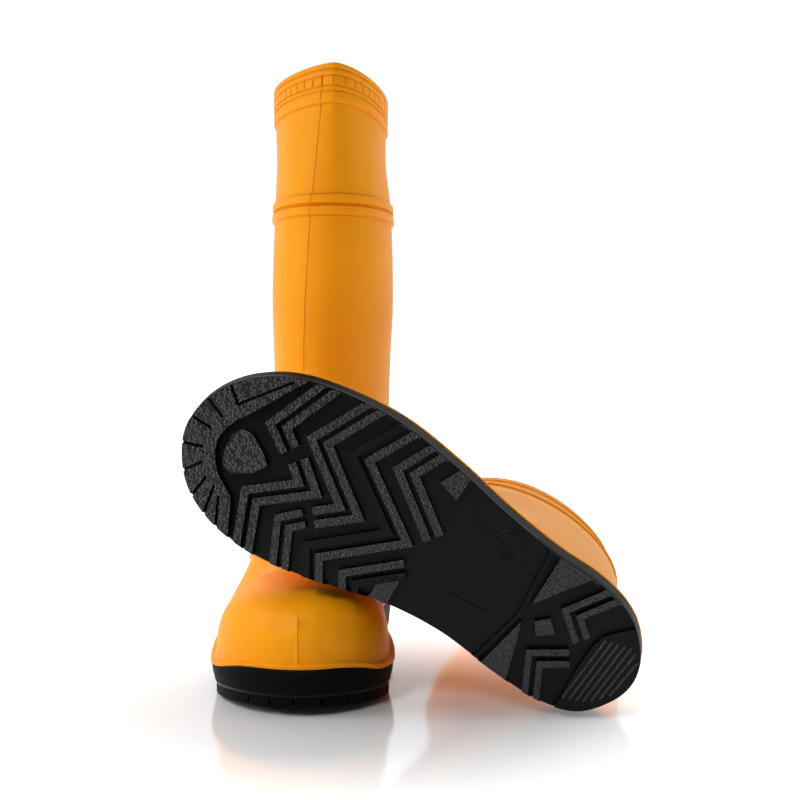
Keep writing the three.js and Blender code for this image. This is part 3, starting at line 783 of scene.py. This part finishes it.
def raise_strip(name, left, right, low, high):
    """A lug between two edges that have the same number of points."""
    count = len(left)
    faces = [(k, k + 1, count + k + 1, count + k) for k in range(count - 1)]
    return raise_lug(name, np.vstack([left, right]), faces, low, high)


def join(parts, name):
    only(parts[0])
    for part in parts:
        part.select_set(True)
    bpy.ops.object.join()
    joined = bpy.context.object
    joined.name = name
    return joined


def finish_with(piece, name, kind, **settings):
    """Adds a modifier to a piece and applies it."""
    only(piece)
    modifier = piece.modifiers.new(name, kind)
    for key, value in settings.items():
        setattr(modifier, key, value)
    bpy.ops.object.modifier_apply(modifier=name)


def turn_at(x):
    return math.acos(1 - 2 * x / SOLE_LENGTH)


def toe_band():
    inside = spread(inside_sole(BAND_INSIDE), 61)
    arc = edge_arc(2 * math.pi - turn_at(BAND_INSIDE[0][0]), turn_at(BAND_INSIDE[-1][0]), 61)
    band = raise_strip("toe_band", inside, arc, 0, LUG_ROOT)
    slots = [raise_strip("slot", *bar_edges(line, 1.7), -2, TREAD_DEPTH - 1.5) for line in BAND_SLOTS]
    cutter = join(slots, "slots")
    exact = {"operation": "DIFFERENCE", "object": cutter, "solver": "EXACT", "use_self": True}
    finish_with(band, "slots", "BOOLEAN", **exact)
    bpy.data.objects.remove(cutter)
    return band


def heel_pad():
    """The back pad is smooth, a little lower than the lugs, with fine straight ribs across it."""
    inside = spread(inside_sole(HEEL_PAD), 41)
    arc = edge_arc(-turn_at(HEEL_PAD[0][0]), turn_at(HEEL_PAD[-1][0]), 41)
    pad = raise_strip("heel_pad", inside, arc, 0.9, LUG_ROOT)
    ribs = []
    for k in range(HEEL_RIBS):
        x = HEEL_RIB_START + HEEL_RIB_PITCH * k
        half = sole_half(np.array(x), -1) * 0.8
        line = [(x + 2.4, -half), (x - 1.6, min(half * 0.75, 18 - k))]
        ribs.append(raise_strip("pad_rib", *bar_edges(line, 1.4), 0, 2))
    return [pad, *ribs]


def ribs_along(line, width):
    """The lugs of a zigzag, kept inside the sole."""
    for rib in twin_bars(line, width):
        left, right = (inside_sole(edge) for edge in ladder(*rib, 10))
        yield raise_strip("rib", left, right, 0, LUG_ROOT)


def make_tread():
    lugs = [toe_band(), *heel_pad()]
    for width, line in ZIGZAGS:
        lugs += ribs_along(line, width)
    for outline in (*WAIST_PIECES, *HEEL_PIECES):
        lugs.append(raise_block("block", inside_sole(fill_out(outline)), 0, LUG_ROOT))
    lugs.append(raise_block("pick_pad", inside_sole(PICK_PAD), 0, LUG_ROOT))
    for line in WAIST_LINES:
        lugs.append(raise_strip("waist_line", *bar_edges(line, 1.3), 4.8, LUG_ROOT))
    left, right = (inside_sole(edge) for edge in ladder(*bar_edges(BREAST_LINE, 1.8), 10))
    lugs.append(raise_strip("breast_rib", left, right, 1.5, LUG_ROOT))
    tread = join(lugs, "tread")
    sharp = {"limit_method": "ANGLE", "angle_limit": math.radians(40)}
    finish_with(tread, "edges", "BEVEL", width=LUG_EDGE, segments=2, **sharp)
    mark = []
    for radius in MARK_RADII:
        only(tread)
        size = {"major_radius": radius, "minor_radius": 0.5}
        bpy.ops.mesh.primitive_torus_add(**size, major_segments=48, minor_segments=8, location=MARK_PLACE)
        mark.append(bpy.context.object)
        bpy.ops.object.transform_apply(location=True)
    return join([tread, *mark], "tread")


def make_outsole():
    turn = np.linspace(0, 2 * math.pi, 240, endpoint=False)
    heel, toe = HEEL_HEIGHT, TOE_SOLE_HEIGHT
    depth = TREAD_DEPTH
    rings = [sole_ring(depth, depth, -0.6, turn), sole_ring(depth + 0.3, depth + 0.3, -0.1, turn)]
    rings += [sole_ring(depth + 1, depth + 1, 0.2, turn)]
    for t in np.linspace(0.1, 0.96, 10):
        heel_z, toe_z = depth + (heel - depth) * t, depth + (toe - depth) * t
        rings.append(sole_ring(heel_z, toe_z, 0.2 + (SIDEWALL_FLARE - 0.2) * t**0.8, turn))
    rings.append(sole_ring(heel - 0.3, toe - 0.3, SIDEWALL_FLARE, turn))
    rings.append(sole_ring(heel, toe, SIDEWALL_FLARE - 0.4, turn))
    inner = skin(CUP_DEPTH, turn, -GAP)
    rings += [inner - (0, 0, 0.05), skin(0, turn, -GAP) - (0, 0, GAP)]
    cup = new_object("cup", loft("cup", rings, smooth_angle=22))
    whole = join([cup, make_tread()], "outsole")
    return whole.data


def pebble(material, size, height):
    """Covers a finish with small round bumps, like the grain on a rubber mat."""
    nodes, links = material.node_tree.nodes, material.node_tree.links
    place = nodes.new("ShaderNodeTexCoord")
    cells = nodes.new("ShaderNodeTexVoronoi")
    cells.feature = "SMOOTH_F1"
    cells.inputs["Scale"].default_value = 1 / size
    cells.inputs["Smoothness"].default_value = 0.25
    crown = nodes.new("ShaderNodeMapRange")
    crown.interpolation_type = "SMOOTHSTEP"
    crown.inputs["From Min"].default_value = 0.15
    crown.inputs["From Max"].default_value = 0.62
    crown.inputs["To Min"].default_value = 1
    crown.inputs["To Max"].default_value = 0
    links.new(place.outputs["Object"], cells.inputs["Vector"])
    links.new(cells.outputs["Distance"], crown.inputs["Value"])
    bumps = nodes["Bump"]
    bumps.inputs["Distance"].default_value = height
    bumps.inputs["Strength"].default_value = 1
    links.new(crown.outputs["Result"], bumps.inputs["Height"])


BLACK, DEEP_BLACK = (0.003, 0.003, 0.0032), (0.004, 0.004, 0.0042)
PEBBLED_DEEP = (0.006, 0.006, 0.0062)
smooth_black = make_finish("smooth_black_pvc", BLACK, DEEP_BLACK, 0.26, 500, 0.00004, 0.12)
pebbled_black = make_finish("pebbled_black_pvc", DEEP_BLACK, PEBBLED_DEEP, 0.22, 420, 0.0006, 0.45)
pebble(pebbled_black, 1.9 * MM, 0.45 * MM)
satin_black = make_finish("satin_black_pvc", BLACK, DEEP_BLACK, 0.45, 500, 0.00004, 0.03)
outsole_mesh = make_outsole()
outsole_mesh.materials.clear()
for finish in (smooth_black, pebbled_black, satin_black):
    outsole_mesh.materials.append(finish)
for face in outsole_mesh.polygons:  # pebbled on the faces that the boot walks on, satin on its walls
    if face.normal.z < -0.95 and abs(face.center.z + 0.015) < 0.035:
        face.material_index = 1
    else:
        face.material_index = 2 if abs(face.normal.z) < 0.3 else 0
for side in SIDES:
    outsole = put_on(side, outsole_mesh, "outsole", "boot")
    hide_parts(f"{side}_outsole")
bpy.data.objects.remove(bpy.data.objects["outsole"])

# ---------------------------------------------------------------- insole
# The insole is a loose foam bed, cut to the lining's floor, with a felt cover bonded to it. It is dropped in
# last, and lifts out by its heel end.

INSOLE_FLOOR, FOAM, COVER = 9.6, 4, 1
INSOLE_DEPTH = FOOT_WALL + GAP + LINING_THICKNESS + 2

dark_foam = make_finish("dark_foam", (0.03, 0.032, 0.037), (0.04, 0.042, 0.047), 0.8, 2200, 0.0002, 0.3)
grey_felt = make_finish("grey_felt", (0.15, 0.16, 0.18), (0.10, 0.11, 0.12), 0.95, 1800, 0.0005, 0.2)


def make_layer(name, low, high, material):
    turn = np.linspace(0, 2 * math.pi, 160, endpoint=False)
    rounding = min(0.4, (high - low) / 3)
    rows = [(low, rounding), (low + rounding, 0), (high - rounding, 0), (high, rounding)]
    mesh = loft(name, [skin(level, turn, INSOLE_DEPTH + inset) for level, inset in rows])
    mesh.materials.append(material)
    return mesh


foam_top = INSOLE_FLOOR + FOAM
layers = {
    "insole_foam": (make_layer("insole_foam", INSOLE_FLOOR, foam_top, dark_foam), "foam"),
    "insole_cover": (make_layer("insole_cover", foam_top + GAP, foam_top + GAP + COVER, grey_felt), "felt"),
}
for side in SIDES:
    for name, (mesh, slot) in layers.items():
        layer = put_on(side, mesh, name, "insole")
        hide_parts(f"{side}_{name}")
